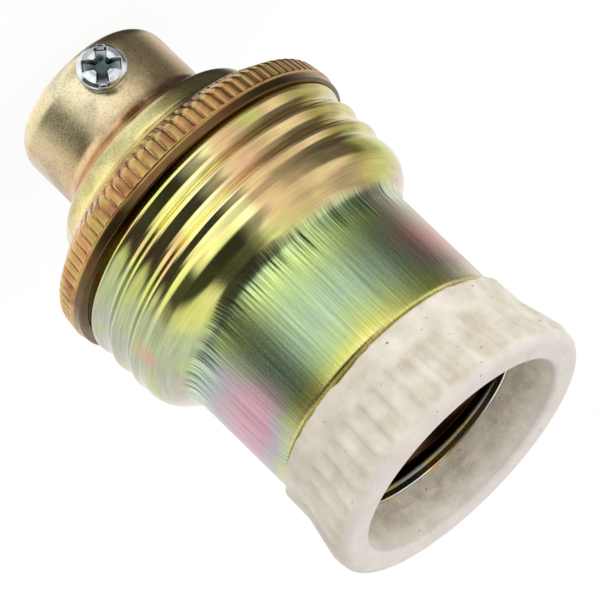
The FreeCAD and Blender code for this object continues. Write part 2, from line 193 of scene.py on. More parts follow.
def filmRound(tree, angle, stops):
    # a film colour by angle round the axis; stops are (degrees from the film's front, hex)
    turn = addNode(tree, "Math", [angle, 1 / (2 * math.pi), 0.5], operation="MULTIPLY_ADD")
    return addNode(tree, "ValToRGB", [turn], between="EASE",
                   stops=[(0.5 + degrees / 360, colour) for degrees, colour in stops])


def filmAlong(tree, height, stops):
    # a film colour by place along the axis; stops are (mm, hex)
    first, last = stops[0][0], stops[-1][0]
    above = addNode(tree, "Math", [height, first], operation="SUBTRACT")
    place = addNode(tree, "Math", [above, last - first], operation="DIVIDE")
    return addNode(tree, "ValToRGB", [place],
                   stops=[((z - first) / (last - first), colour) for z, colour in stops])


def drawnZincShell():
    # zinc plated sheet steel in yellow passivate: rolled thread bright, drawn cylinder satin with lines along it
    material, tree, shader, coordinates = startMaterial("yellow passivated zinc, drawn shell")
    height = heightInMm(tree, coordinates)
    angle = angleRound(tree, coordinates, filmFront)
    # 0 on the rolled part, 1 on the drawn cylinder
    cylinder = addNode(tree, "MapRange", [height, 39.4, 41.6], interpolation_type="SMOOTHSTEP")
    onThread = addNode(tree, "Math", [1.0, cylinder], operation="SUBTRACT")
    # the film's edges wander by a few mm
    clouds = addNode(tree, "TexNoise", {"Vector": coordinates, "Scale": 1 / (7 * mm), "Detail": 3})
    patches = addNode(tree, "TexNoise", {"Vector": coordinates, "Scale": 1 / (6 * mm), "Detail": 2})
    cloud = addNode(tree, "Math", [clouds, 0.5], operation="SUBTRACT")
    patch = addNode(tree, "Math", [patches, 0.5], operation="SUBTRACT")
    wideAngle = addNode(tree, "Math", [cloud, 0.5, angle], operation="MULTIPLY_ADD")
    wanderAngle = addNode(tree, "Math", [patch, 0.5, angle], operation="MULTIPLY_ADD")
    wanderHeight = addNode(tree, "Math", [cloud, 7.0, height], operation="MULTIPLY_ADD")
    # the film on the cylinder: green and grey at the front, lilac to pink at the sides
    front = filmAlong(tree, wanderHeight, [
        (40, "#93a97f"), (44, "#b9cd80"), (47, "#a6bd8a"), (51, "#a2b998"), (54, "#adbf84"), (56, "#c6ca70"),
        (58, "#eadf8e")])
    leftSide = filmAlong(tree, wanderHeight, [
        (40, "#a9bd9c"), (43, "#a9b7ab"), (46, "#b9adb3"), (50, "#d2a3ae"), (53, "#cba0b0"), (55.5, "#b8b2b8"),
        (57, "#bfcaa0"), (58, "#d2cf98")])
    rightSide = filmAlong(tree, wanderHeight, [
        (40, "#bcc9a4"), (45, "#bfae9c"), (50, "#d69f93"), (54, "#bda79c"), (57, "#d6cfae"), (58, "#e4d9a4")])
    behind = addNode(tree, "MapRange", [angle, 2.0, 2.8], interpolation_type="SMOOTHSTEP")
    onLeft = addNode(tree, "MapRange", [wideAngle, -0.52, -0.86], interpolation_type="SMOOTHSTEP")
    onRight = addNode(tree, "MapRange", [wideAngle, 0.72, 1.1], interpolation_type="SMOOTHSTEP")
    before = addNode(tree, "Math", [1.0, behind], operation="SUBTRACT")
    toLeft = addNode(tree, "Math", [onLeft, behind], operation="MAXIMUM")
    toRight = addNode(tree, "Math", [onRight, before], operation="MULTIPLY")
    drawn = addNode(tree, "Mix", {0: toLeft, 6: front, 7: leftSide}, output=2, data_type="RGBA")
    drawn = addNode(tree, "Mix", {0: toRight, 6: drawn, 7: rightSide}, output=2, data_type="RGBA")
    # the film on the rolled thread, straw and yellow-green at the front, grey-green and peach at the sides; the ramp
    # also holds painted reflections, lightest near the front and darker at 17 and 31 degrees
    rolled = filmRound(tree, wanderAngle, [
        (-180, "#b9b2a6"), (-95, "#c9c0b4"), (-66, "#b3b7a2"), (-47, "#b6c092"), (-30, "#dfe07e"),
        (-14, "#efe98e"), (3, "#f4eea8"), (17, "#dcbb86"), (31, "#c8ac78"), (46, "#e8cc94"), (61, "#dfc872"),
        (76, "#d9d08c"), (100, "#c9bfa4"), (180, "#b9b2a6")])
    pinkClouds = addNode(tree, "TexNoise", {"Vector": coordinates, "Scale": 1 / (6.5 * mm), "Detail": 2})
    pink = addNode(tree, "ValToRGB", [pinkClouds], stops=[(0.52, 0.0), (0.68, 0.6)])
    rolled = addNode(tree, "Mix", {0: pink, 6: rolled, 7: hexColour("#dfa58c")}, output=2, data_type="RGBA")
    greenClouds = addNode(tree, "TexNoise", {"Vector": coordinates, "Scale": 1 / (8 * mm), "Detail": 2})
    green = addNode(tree, "ValToRGB", [greenClouds], stops=[(0.34, 0.6), (0.48, 0.0)])
    rolled = addNode(tree, "Mix", {0: green, 6: rolled, 7: hexColour("#c3cc6c")}, output=2, data_type="RGBA")
    # draw lines 0.34 and 0.16 mm apart that run the length of the cylinder
    arc = addNode(tree, "Math", [angle, 18 * mm], operation="MULTIPLY")
    squeezed = addNode(tree, "Math", [height, 0.03 * mm], operation="MULTIPLY")
    streakPlace = addNode(tree, "CombineXYZ", [arc, squeezed])
    streaks = addNode(tree, "TexNoise", {"Vector": streakPlace, "Scale": 1 / (0.34 * mm), "Detail": 1})
    fineStreaks = addNode(tree, "TexNoise", {"Vector": streakPlace, "Scale": 1 / (0.16 * mm), "Detail": 2,
                                             "Roughness": 0.6})
    # the lines are deepest where the cylinder leaves the bulge
    pastCurve = addNode(tree, "MapRange", [height, 39.6, 40.8], interpolation_type="SMOOTHSTEP")
    nearCurve = addNode(tree, "MapRange", [wanderHeight, 46.0, 42.0], interpolation_type="SMOOTHSTEP")
    atCurve = addNode(tree, "Math", [pastCurve, nearCurve], operation="MULTIPLY")
    # the zinc's grain, really a few hundredths of a mm, is drawn at 0.2 mm so that it shows;
    # rolling lines 0.3 mm apart run round the thread
    grain = addNode(tree, "TexNoise", {"Vector": coordinates, "Scale": 1 / (0.2 * mm), "Detail": 2,
                                       "Roughness": 0.7})
    along = addNode(tree, "Math", [height, mm], operation="MULTIPLY")
    squeezedArc = addNode(tree, "Math", [angle, 0.9 * mm], operation="MULTIPLY")
    ringPlace = addNode(tree, "CombineXYZ", [along, squeezedArc])
    rings = addNode(tree, "TexNoise", {"Vector": ringPlace, "Scale": 1 / (0.3 * mm), "Detail": 2,
                                       "Roughness": 0.6})
    # each pattern lightens and darkens the film a little
    streakSwing = addNode(tree, "Math", [streaks, 0.5], operation="SUBTRACT")
    fineSwing = addNode(tree, "Math", [fineStreaks, 0.5], operation="SUBTRACT")
    grainSwing = addNode(tree, "Math", [grain, 0.5], operation="SUBTRACT")
    ringSwing = addNode(tree, "Math", [rings, 0.5], operation="SUBTRACT")
    share = addNode(tree, "Math", [atCurve, 3.2, 0.9], operation="MULTIPLY_ADD")
    tone = addNode(tree, "Math", [streakSwing, share, 1.0], operation="MULTIPLY_ADD")
    tone = addNode(tree, "Math", [fineSwing, 0.4, tone], operation="MULTIPLY_ADD")
    tone = addNode(tree, "Math", [grainSwing, 0.55, tone], operation="MULTIPLY_ADD")
    toned = addNode(tree, "VectorMath", {0: drawn, "Scale": tone}, operation="SCALE")
    ringTone = addNode(tree, "Math", [ringSwing, 0.7, 1.0], operation="MULTIPLY_ADD")
    lined = addNode(tree, "VectorMath", {0: rolled, "Scale": ringTone}, operation="SCALE")
    # coppery specks on the cylinder
    dots = addNode(tree, "TexNoise", {"Vector": coordinates, "Scale": 1 / (0.45 * mm), "Detail": 1})
    speckle = addNode(tree, "ValToRGB", [dots], stops=[(0.74, 0.0), (0.8, 0.5)])
    speckled = addNode(tree, "Mix", {0: speckle, 6: toned, 7: hexColour("#c98a58")}, output=2, data_type="RGBA")
    colour = addNode(tree, "Mix", {0: cylinder, 6: lined, 7: speckled}, output=2, data_type="RGBA")
    rough = addNode(tree, "Mix", {0: cylinder, 2: 0.11, 3: 0.27})
    rough = addNode(tree, "Math", [grainSwing, 0.14, rough], operation="MULTIPLY_ADD")
    lineShare = addNode(tree, "Math", [atCurve, 2.2, cylinder], operation="MULTIPLY_ADD")
    lines = addNode(tree, "Math", [streaks, lineShare], operation="MULTIPLY")
    ringLines = addNode(tree, "Math", [rings, onThread], operation="MULTIPLY")
    grainShare = addNode(tree, "Math", [cylinder, 0.8, 0.2], operation="MULTIPLY_ADD")
    grainDeep = addNode(tree, "Math", [grain, grainShare], operation="MULTIPLY")
    relief = addNode(tree, "Bump", {"Height": lines, "Distance": 0.014 * mm})
    relief = addNode(tree, "Bump", {"Height": ringLines, "Distance": 0.006 * mm, "Normal": relief})
    relief = addNode(tree, "Bump", {"Height": grainDeep, "Distance": 0.0045 * mm, "Normal": relief})
    setInputs(tree, shader, {"Base Color": colour, "Metallic": 1.0, "Roughness": rough, "Normal": relief})
    return material


def drawnZincCap():
    # the same plating on the cap: satin champagne neck, copper in the fillet, brighter and yellower dome that is
    # partly a painted highlight; lightened at the front as a painted highlight and darkened at the rim under the
    # knurl as painted shade
    material, tree, shader, coordinates = startMaterial("yellow passivated zinc, satin cap")
    height = heightInMm(tree, coordinates)
    angle = angleRound(tree, coordinates, filmFront)
    clouds = addNode(tree, "TexNoise", {"Vector": coordinates, "Scale": 1 / (4 * mm), "Detail": 3})
    cloud = addNode(tree, "Math", [clouds, 0.5], operation="SUBTRACT")
    wanderHeight = addNode(tree, "Math", [cloud, 2.2, height], operation="MULTIPLY_ADD")
    wanderAngle = addNode(tree, "Math", [cloud, 1.0, angle], operation="MULTIPLY_ADD")
    # lightest at the front, the side towards the camera: a painted highlight on top of the film's pink and cream
    # hues
    tintAndPaintedHighlight = filmRound(tree, wanderAngle, [
        (-180, "#e8ddd6"), (-80, "#f2e6de"), (-60, "#f4e2d0"), (-35, "#fbf2d6"), (0, "#fffdf0"), (30, "#f6e8cc"),
        (60, "#efddc2"), (100, "#ecdfd4"), (180, "#e8ddd6")])
    # the dome's pale yellow at 17 to 19 mm is partly a painted highlight; from 20.6 mm the ramp darkens to
    # copper-brown at the rim, under the knurl, as painted shade
    colour = filmAlong(tree, wanderHeight, [
        (-1, "#f2ecdf"), (2, "#f0e8cf"), (8, "#eee3c6"), (11, "#ecd8b8"), (12.3, "#dca982"), (13.4, "#dcb890"),
        (15, "#dfdcae"), (17, "#f4ecac"), (19, "#fbeaa8"), (20.6, "#ecc49c"), (22.4, "#d3a878"), (23.2, "#9a6e42"),
        (25, "#87592f")])
    colour = addNode(tree, "Mix", {0: 1.0, 6: colour, 7: tintAndPaintedHighlight}, output=2, data_type="RGBA",
                     blend_type="MULTIPLY")
    # duller clouds, and fine dark specks in the film, coarser than the real ones so that they show
    dullClouds = addNode(tree, "TexNoise", {"Vector": coordinates, "Scale": 1 / (5.5 * mm), "Detail": 3,
                                            "Roughness": 0.6})
    dull = addNode(tree, "ValToRGB", [dullClouds], stops=[(0.4, 0.62), (0.55, 1.0)])
    colour = addNode(tree, "Mix", {0: 0.75, 6: colour, 7: dull}, output=2, data_type="RGBA",
                     blend_type="MULTIPLY")
    grain = addNode(tree, "TexNoise", {"Vector": coordinates, "Scale": 1 / (0.24 * mm), "Detail": 3,
                                       "Roughness": 0.75})
    speck = addNode(tree, "ValToRGB", [grain], stops=[(0.3, 0.4), (0.47, 0.9), (0.6, 1.0)])
    colour = addNode(tree, "Mix", {0: 0.9, 6: colour, 7: speck}, output=2, data_type="RGBA",
                     blend_type="MULTIPLY")
    dome = addNode(tree, "MapRange", [height, 10.5, 13.5], interpolation_type="SMOOTHSTEP")
    grainSwing = addNode(tree, "Math", [grain, 0.5], operation="SUBTRACT")
    rough = addNode(tree, "Mix", {0: dome, 2: 0.28, 3: 0.2})
    rough = addNode(tree, "Math", [grainSwing, 0.24, rough], operation="MULTIPLY_ADD")
    dents = addNode(tree, "TexNoise", {"Vector": coordinates, "Scale": 1 / (1.6 * mm), "Detail": 2})
    relief = addNode(tree, "Bump", {"Height": grain, "Distance": 0.006 * mm})
    relief = addNode(tree, "Bump", {"Height": dents, "Distance": 0.012 * mm, "Normal": relief})
    setInputs(tree, shader, {"Base Color": colour, "Metallic": 1.0, "Roughness": rough, "Normal": relief})
    return material


def knurledZinc():
    # knurled rim: coppery passivate, with painted shade between the ribs and on the turned-in edge
    material, tree, shader, coordinates = startMaterial("yellow passivated zinc, knurled rim")
    cloud = addNode(tree, "TexNoise", {"Vector": coordinates, "Scale": 1 / (5 * mm), "Detail": 2})
    film = addNode(tree, "ValToRGB", [cloud],
                   stops=[(0.3, "#9f6f42"), (0.45, "#cf9f68"), (0.58, "#bfa962"), (0.7, "#ae7a56")])
    paintedShade = addNode(tree, "Attribute", output="Fac", attribute_name="paintedShade")
    # dark brown where paintedShade is set: painted shade in the grooves and on the turned-in edge
    colour = addNode(tree, "Mix", {0: paintedShade, 6: film, 7: hexColour("#3c2415")}, output=2, data_type="RGBA")
    grain = addNode(tree, "TexNoise", {"Vector": coordinates, "Scale": 1 / (0.14 * mm), "Detail": 2,
                                       "Roughness": 0.7})
    relief = addNode(tree, "Bump", {"Height": grain, "Distance": 0.01 * mm})
    setInputs(tree, shader, {"Base Color": colour, "Metallic": 1.0, "Roughness": 0.2, "Normal": relief})
    return material


def rawPorcelain():
    # biscuit-fired steatite, pressed and unglazed: matt, warm white, with soft clouds, pits and iron specks
    material, tree, shader, coordinates = startMaterial("steatite porcelain, pressed and unglazed")
    height = heightInMm(tree, coordinates)
    cloud = addNode(tree, "TexNoise", {"Vector": coordinates, "Scale": 1 / (3.2 * mm), "Detail": 4})
    colour = addNode(tree, "ValToRGB", [cloud], stops=[(0.28, "#c5bca9"), (0.5, "#d3cbbb"), (0.72, "#e0dacc")])
    # the face at the mouth is a cooler lilac-grey
    rim = addNode(tree, "MapRange", [height, 69.4, 70.8], interpolation_type="SMOOTHSTEP")
    mouthFaceShare = addNode(tree, "Math", [rim, 0.6], operation="MULTIPLY")
    colour = addNode(tree, "Mix", {0: mouthFaceShare, 6: colour, 7: hexColour("#cdc4c2")}, output=2, data_type="RGBA")
    # painted shade inside the bore: darker and mottled where the radius is under 15.6 mm
    x = addNode(tree, "SeparateXYZ", [coordinates], output="X")
    y = addNode(tree, "SeparateXYZ", [coordinates], output="Y")
    flatPlace = addNode(tree, "CombineXYZ", [x, y])
    radius = addNode(tree, "VectorMath", [flatPlace], output="Value", operation="LENGTH")
    inside = addNode(tree, "MapRange", [radius, 15.6 * mm, 14.6 * mm], interpolation_type="SMOOTHSTEP")
    boreShadeShare = addNode(tree, "Math", [inside, 0.8], operation="MULTIPLY")
    boreShadeClouds = addNode(tree, "TexNoise", {"Vector": coordinates, "Scale": 1 / (2.2 * mm), "Detail": 4,
                                      "Roughness": 0.7})
    paintedBoreShade = addNode(tree, "ValToRGB", [boreShadeClouds], stops=[(0.3, "#9a8f7e"), (0.6, "#c4baa8")])
    colour = addNode(tree, "Mix", {0: boreShadeShare, 6: colour, 7: paintedBoreShade}, output=2, data_type="RGBA")
    # dark iron specks and pale chalky ones
    specks = addNode(tree, "TexNoise", {"Vector": coordinates, "Scale": 1 / (0.8 * mm), "Detail": 2})
    spotted = addNode(tree, "ValToRGB", [specks], stops=[(0.22, "#5f564b"), (0.27, "#ffffff")])
    colour = addNode(tree, "Mix", {0: 1.0, 6: colour, 7: spotted}, output=2, data_type="RGBA",
                     blend_type="MULTIPLY")
    paleDots = addNode(tree, "TexNoise", {"Vector": coordinates, "Scale": 1 / (0.42 * mm), "Detail": 2})
    chalk = addNode(tree, "ValToRGB", [paleDots], stops=[(0.64, 0.0), (0.72, 0.4)])
    colour = addNode(tree, "Mix", {0: chalk, 6: colour, 7: hexColour("#e6e1d8")}, output=2, data_type="RGBA")
    waves = addNode(tree, "TexNoise", {"Vector": coordinates, "Scale": 1 / (1.1 * mm), "Detail": 4,
                                       "Roughness": 0.6})
    pores = addNode(tree, "TexNoise", {"Vector": coordinates, "Scale": 1 / (0.34 * mm), "Detail": 3,
                                       "Roughness": 0.7})
    relief = addNode(tree, "Bump", {"Height": waves, "Distance": 0.12 * mm})
    relief = addNode(tree, "Bump", {"Height": pores, "Distance": 0.035 * mm, "Normal": relief})
    relief = addNode(tree, "Bump", {"Height": specks, "Distance": 0.05 * mm, "Normal": relief})
    setInputs(tree, shader, {"Base Color": colour, "Roughness": 0.46, "Subsurface Weight": 0.08,
                             "Subsurface Radius": (1.2, 0.9, 0.7), "Subsurface Scale": 1 * mm, "Normal": relief})
    return material


def glazedPorcelain():
    # glazed core: smooth and glossy, cool white
    material, tree, shader, coordinates = startMaterial("glazed porcelain core")
    cloud = addNode(tree, "TexNoise", {"Vector": coordinates, "Scale": 1 / (8 * mm), "Detail": 2})
    colour = addNode(tree, "ValToRGB", [cloud], stops=[(0.3, "#dcd8ce"), (0.7, "#ebe8e0")])
    ripples = addNode(tree, "TexNoise", {"Vector": coordinates, "Scale": 1 / (2.5 * mm), "Detail": 2})
    relief = addNode(tree, "Bump", {"Height": ripples, "Distance": 0.03 * mm})
    setInputs(tree, shader, {"Base Color": colour, "Roughness": 0.18, "Normal": relief})
    return material


def whiteZinc():
    # clear passivated zinc on turned screws: silvery blue-white, faintly uneven, with painted shade in the driver's
    # recess
    material, tree, shader, coordinates = startMaterial("bright zinc plated screw")
    cloud = addNode(tree, "TexNoise", {"Vector": coordinates, "Scale": 1 / (1.2 * mm), "Detail": 2})
    film = addNode(tree, "ValToRGB", [cloud], stops=[(0.3, "#c9d1d4"), (0.7, "#f0f3f3")])
    paintedShade = addNode(tree, "Attribute", output="Fac", attribute_name="paintedShade")
    # dark blue-grey where paintedShade is set: painted shade in the cross recess and slot
    colour = addNode(tree, "Mix", {0: paintedShade, 6: film, 7: hexColour("#4c5a5d")}, output=2, data_type="RGBA")
    marks = addNode(tree, "TexNoise", {"Vector": coordinates, "Scale": 1 / (0.5 * mm), "Detail": 2})
    relief = addNode(tree, "Bump", {"Height": marks, "Distance": 0.02 * mm})
    setInputs(tree, shader, {"Base Color": colour, "Metallic": 1.0, "Roughness": 0.17, "Normal": relief})
    return material


def rolledZincSleeve():
    # the sleeve has the same yellow film, brown-black inside as painted shade, bright and shifting on its lip as
    # film colour with a painted highlight
    material, tree, shader, coordinates = startMaterial("yellow passivated zinc, rolled sleeve")
    height = heightInMm(tree, coordinates)
    cloud = addNode(tree, "TexNoise", {"Vector": coordinates, "Scale": 1 / (3 * mm), "Detail": 2})
    lip = addNode(tree, "MapRange", [height, 63.4, 64.1], interpolation_type="SMOOTHSTEP")
    bright = addNode(tree, "ValToRGB", [cloud],
                     stops=[(0.3, "#f6c27c"), (0.43, "#fbf0a8"), (0.56, "#cfe6df"), (0.7, "#e8bcc8")])
    # the dark brown below the lip is painted shade; the lip's bright colours are partly a painted highlight
    colour = addNode(tree, "Mix", {0: lip, 6: hexColour("#4a2f1d"), 7: bright}, output=2, data_type="RGBA")
    grain = addNode(tree, "TexNoise", {"Vector": coordinates, "Scale": 1 / (0.3 * mm), "Detail": 2})
    relief = addNode(tree, "Bump", {"Height": grain, "Distance": 0.006 * mm})
    setInputs(tree, shader, {"Base Color": colour, "Metallic": 1.0, "Roughness": 0.2, "Normal": relief})
    return material


def stampedBrass():
    # half-hard brass strip, stamped: warm yellow with the rolling grain along it, drawn coarse so that it shows
    material, tree, shader, coordinates = startMaterial("stamped brass strip")
    stretched = addNode(tree, "Mapping", {"Vector": coordinates, "Scale": (1, 0.05, 1)})
    grain = addNode(tree, "TexNoise", {"Vector": stretched, "Scale": 1 / (0.3 * mm), "Detail": 2})
    colour = addNode(tree, "ValToRGB", [grain], stops=[(0.3, "#b98f45"), (0.7, "#d8b465")])
    relief = addNode(tree, "Bump", {"Height": grain, "Distance": 0.006 * mm})
    setInputs(tree, shader, {"Base Color": colour, "Metallic": 1.0, "Roughness": 0.28, "Normal": relief})
    return material


shellFinish = drawnZincShell()
capFinish = drawnZincCap()
rimFinish = knurledZinc()
ringFinish = rawPorcelain()
coreFinish = glazedPorcelain()
screwFinish = whiteZinc()
sleeveFinish = rolledZincSleeve()
brassFinish = stampedBrass()
print("finishes ready")


shellTop, shellEnd = endsAlong("shell")
shellPiece = {
    "wall": 0.45, "top": shellTop, "crest": 21.7, "root": 20.9, "pitch": 3.6, "crestAt": 25.9, "crestTurn": -70,
    "crestLean": 0.22, "fadeFrom": 32.8, "fadeTo": 35.6, "fadeCorner": 2.5, "bulge": 21.45, "bulgeEnd": 37.4,
    "bulgeCorner": 3.4, "radius": 17.9, "start": 40.7, "end": shellEnd, "lip": 16.75, "lipCorner": 1.0,
    "columns": 264, "step": 0.23,
}


def threadRadius(s, place):
    # radius of the rolled thread's skin, in mm, at a place in metres
    z = place.z / mm
    turn = math.atan2(place.y, place.x) / (2 * math.pi) - s["crestTurn"] / 360
    phase = 2 * math.pi * ((z - s["crestAt"]) / s["pitch"] - turn)
    wave = math.cos(phase + s["crestLean"] * math.sin(phase))  # crests a little fuller on the cap's side
    swing = (s["crest"] - s["root"]) / 2
    return (s["crest"] + s["root"]) / 2 + swing * (1 - smooth(z, s["fadeFrom"], s["fadeTo"])) * wave


def buildShell(s):
    middle = (s["crest"] + s["root"]) / 2
    corners = [
        (middle, s["top"], 0), (middle, s["fadeFrom"], 0), (s["bulge"], s["fadeTo"], s["fadeCorner"]),
        (s["bulge"], s["bulgeEnd"], s["bulgeCorner"]), (s["radius"], s["start"], s["bulgeCorner"]),
        (s["radius"], s["end"], s["lipCorner"]), (s["lip"], s["end"], 0),
    ]
    bm = lathe(roundedPath(corners, s["step"]), s["columns"])
    for v in bm.verts:
        out = Vector((v.co.x, v.co.y, 0)).normalized()
        v.co += out * (threadRadius(s, v.co) - middle) * mm
    piece = makePiece("shell_skin", bm, "outer_shell", shellFinish, "shell")
    giveWall(piece, s["wall"], -1)


buildShell(shellPiece)
print("shell built")


capPiece = {
    "wall": 0.5, "mouth": 5.2, "neck": 11.4, "neckCorner": 3.4, "neckLength": 11.9, "fillet": 2.4,
    "shoulder": (15.2, 14.2), "shoulderCorner": 2.6, "waist": (16.4, 17.0), "waistCorner": 2.0,
    "cone": (21.9, 20.9), "coneCorner": 1.3, "rim": (22.2, 24.7), "columns": 256, "step": 0.3,
}
knurlPiece = {
    "count": 88, "perKnurl": 8, "depth": 0.3, "grooveFloor": 0.03, "groove": 0.13, "crownDrop": 0.24,
    "top": 19.2, "bottom": 23.4, "bottomEdge": 0.12, "end": 24.85, "lipWidth": 0.9, "lipGap": 0.06, "step": 0.14,
}


def buildCap(c):
    corners = [
        (c["mouth"], 0, 0), (c["neck"], 0, c["neckCorner"]), (c["neck"], c["neckLength"], c["fillet"]),
        (*c["shoulder"], c["shoulderCorner"]), (*c["waist"], c["waistCorner"]), (*c["cone"], c["coneCorner"]),
        (*c["rim"], 0),
    ]
    bm = lathe(roundedPath(corners, c["step"]), c["columns"])
    piece = makePiece("cap_skin", bm, "base", capFinish, "cap")
    giveWall(piece, c["wall"], -1)


def buildKnurl(c, k):
    (coneRadius, coneHeight), (waistRadius, waistHeight) = c["cone"], c["waist"]
    rimRadius = c["rim"][0]
    slope = (coneHeight - waistHeight) / (coneRadius - waistRadius)
    topZ = waistHeight + slope * (k["top"] - waistRadius)
    steep = math.hypot(1, slope)
    corners = [
        (k["top"], topZ - 0.05, 0),
        (k["top"] + 0.05, topZ - k["depth"] * steep - 0.02, 0.12),
        (coneRadius + 0.25, coneHeight - 0.22, 1.6),
        (rimRadius + k["depth"] - 0.02, k["bottom"], 0.15),
        (rimRadius + 0.05, k["bottom"] + 0.14, 0.05),
        (rimRadius + 0.05, k["end"] - 0.02, 0.2),
        (rimRadius - k["lipWidth"], k["end"], 0),
    ]
    path = roundedPath(corners, k["step"])
    bm = lathe(path, k["count"] * k["perKnurl"])
    paintedShade = bm.verts.layers.float.new("paintedShade")
    bm.normal_update()
    first, last = path[0].y, k["bottom"] + k["bottomEdge"]
    for v in bm.verts:
        turn = math.atan2(v.co.y, v.co.x) / (2 * math.pi) * k["count"]
        off = abs(turn - round(turn))  # 0 in the middle of a groove, 0.5 on a rib's crown
        groove = 1 - smooth(off, k["grooveFloor"], k["groove"])
        crown = 1 - (2 * abs(off - 0.5)) ** 2
        z = v.co.z / mm
        inside = smooth(z, first + 0.05, first + 0.5) * (1 - smooth(z, last - 0.5, last - 0.1))
        v.co -= v.normal * mm * inside * (k["depth"] * 0.75 * groove + k["crownDrop"] * (1 - crown))
        # painted shade: dark in the grooves between the ribs and on the turned-in edge past the rim's bottom
        v[paintedShade] = max(groove * inside, 0.8 * smooth(z, last, last + 0.3))
        radius = math.hypot(v.co.x, v.co.y) / mm
        if z > last and radius < rimRadius:  # the turned-in edge keeps its gap to the thread all the way round
            share = (rimRadius - radius) / k["lipWidth"]
            reach = rimRadius + (threadRadius(shellPiece, v.co) + k["lipGap"] - rimRadius) * share
            v.co.x, v.co.y = v.co.x * reach / radius, v.co.y * reach / radius
    makePiece("cap_knurl", bm, "base", rimFinish, "cap")


buildCap(capPiece)
buildKnurl(capPiece, knurlPiece)
print("cap built")


spigotStart, ringEnd = endsAlong("porcelain_ring")
ringPiece = {
    "start": shellEnd + 0.1, "end": ringEnd, "radius": 18.75, "mouth": 20.1, "hole": 16.1, "bore": 14.0,
    "boreEnd": 64.7, "seat": 66.8, "spigot": 16.4, "spigotStart": spigotStart, "flutes": 44,
    "fluteDepth": 0.62, "fluteFrom": 61.6, "fluteTo": 69.6, "arch": 1.5, "archLead": 1.3, "archUneven": 0.35,
    "chip": 0.4, "dent": 0.12,
    "roughTo": 2.2,  # how far the rough edge at the shell reaches
    # the rough edge's waves: how many round the ring, how high, where they start
    "waves": ((5, 0.45, 0.4), (11, 0.4, 2.0), (23, 0.25, 1.1), (41, 0.12, 0.3)),
    "columns": 440, "step": 0.27,
}


def buildRing(r):
    corners = [
        (r["bore"], r["spigotStart"], 0), (r["spigot"], r["spigotStart"], 0.4), (r["spigot"], r["start"], 0),
        (r["radius"] - 0.1, r["start"], 0.45), (r["radius"], r["fluteFrom"] + 1.0, 4.0),
        (r["mouth"], r["fluteTo"] - 1.1, 1.6), (r["mouth"] - 0.35, r["end"], 1.3),
        (r["hole"] - 0.15, r["end"], 0.8), (r["bore"] + 0.4, r["seat"], 1.2), (r["bore"], r["boreEnd"], 0),
        (r["bore"], r["spigotStart"], 0),
    ]
    path = roundedPath(corners, r["step"])[:-1]
    bm = lathe(path, r["columns"], closed=True)
    for v in bm.verts:
        z = v.co.z / mm
        radius = math.hypot(v.co.x, v.co.y) / mm
        angle = math.atan2(v.co.y, v.co.x)
        out = Vector((v.co.x, v.co.y, 0)).normalized()
        if radius > r["spigot"] + 0.2 and z < r["start"] + r["roughTo"]:  # the edge at the shell is wavy and chipped
            rough = sum(high * math.sin(count * angle + start) for count, high, start in r["waves"])
            nearEdge = 1 - smooth(z, r["start"] + 0.2, r["start"] + r["roughTo"])
            v.co.z += mm * r["chip"] * max(0, rough) * nearEdge
            v.co -= out * mm * r["dent"] * max(0, -rough) * nearEdge
        if radius < r["radius"] - 0.6 or z < r["start"] + 1.5:
            continue
        turn = angle / (2 * math.pi) * r["flutes"]
        which = round(turn)
        off = abs(turn - which) * 2  # 0 in the middle of a flute, 1 between two
        arch = r["fluteFrom"] + r["arch"] * off * off + r["archUneven"] * math.sin(2.3 * which)
        inFlute = smooth(z, arch, arch + r["archLead"]) * (1 - smooth(z, r["fluteTo"] - 1.0, r["fluteTo"] + 0.3))
        scoop = 1 - smooth(off, 0.3, 0.8)
        worn = 0.8 + 0.25 * math.sin(1.7 * which + 1)
        v.co -= out * mm * r["fluteDepth"] * scoop * inFlute * worn
    makePiece("ring_body", bm, "ring", ringFinish, "porcelain_ring")


buildRing(ringPiece)
print("ring built")


lockPiece = {
    "seat": capPiece["neck"], "height": sum(endsAlong("lock_screw")) / 2, "head": 3.25, "crown": 13.3,
    "dome": 0.45, "domeRise": 0.22, "edge": 0.55, "shank": 1.7, "tip": 4.95,
    "armLength": 2.45, "armWidth": 0.5, "flare": 0.22, "deep": 1.35,
    "slotWidth": 0.42, "slotDeep": 0.5, "burr": 0.12, "burrAt": 2.0, "turned": -38, "columns": 192, "rings": 60,
}


